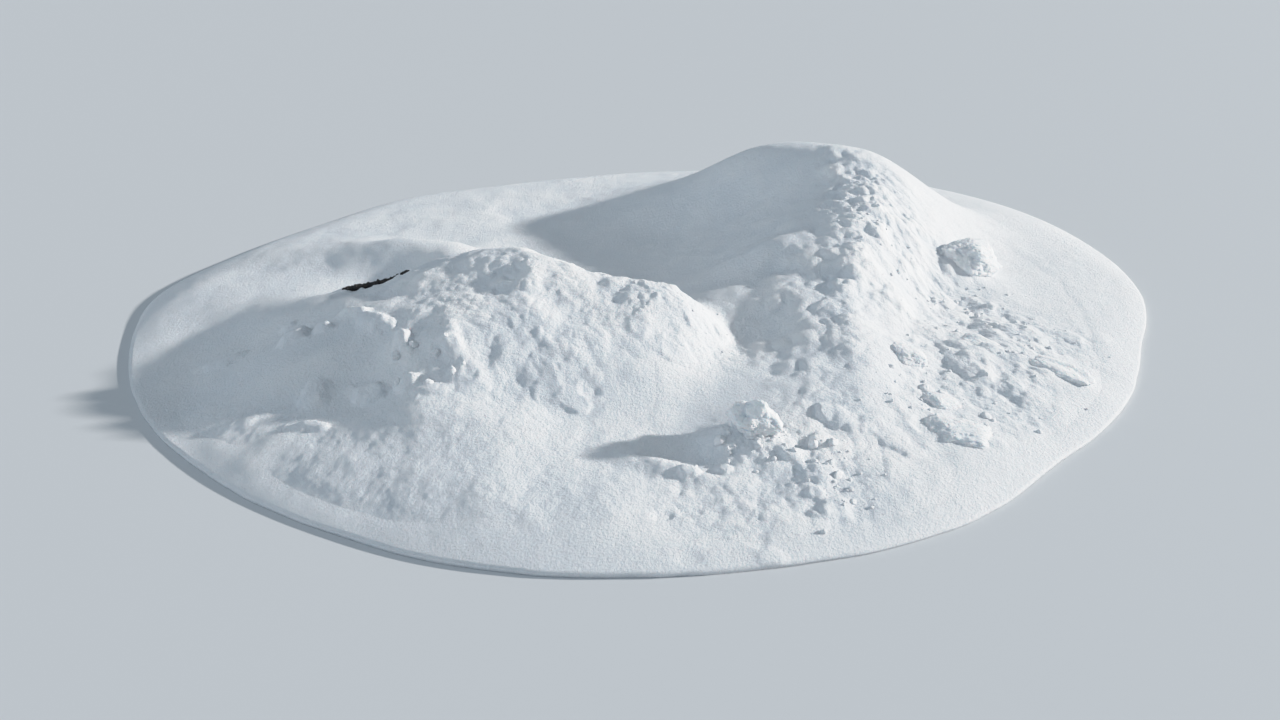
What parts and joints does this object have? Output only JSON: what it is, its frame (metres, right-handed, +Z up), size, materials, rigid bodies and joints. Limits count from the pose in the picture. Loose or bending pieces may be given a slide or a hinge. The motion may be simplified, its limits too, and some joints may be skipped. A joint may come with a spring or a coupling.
{
  "type": "snow pile",
  "caption": "Ploughed snow pile: a tall and a low mound on a thin bed, rubble and loose clods on the slopes, a short branch half buried.",
  "frame": {"origin": "on the ground, under the middle of the footprint box", "axes": "+Z up; +X to the right as seen from the front, where the low mound is left and the tall mound is right; the front is towards -Y"},
  "size_m": [4.3382, 3.7576, 0.4922],
  "materials": {
    "snow": "matt, fine grained, slightly translucent snow",
    "bark": "rough, wet, dark bark"
  },
  "bodies": {
    "root": {"snow_pile": "snow", "buried_branch": "bark", "upper_chunk": "snow", "front_clod": "snow", "low_slab": "snow", "right_clod": "snow", "middle_slab": "snow", "inner_clod": "snow", "small_clod": "snow"}
  },
  "joints": []
}
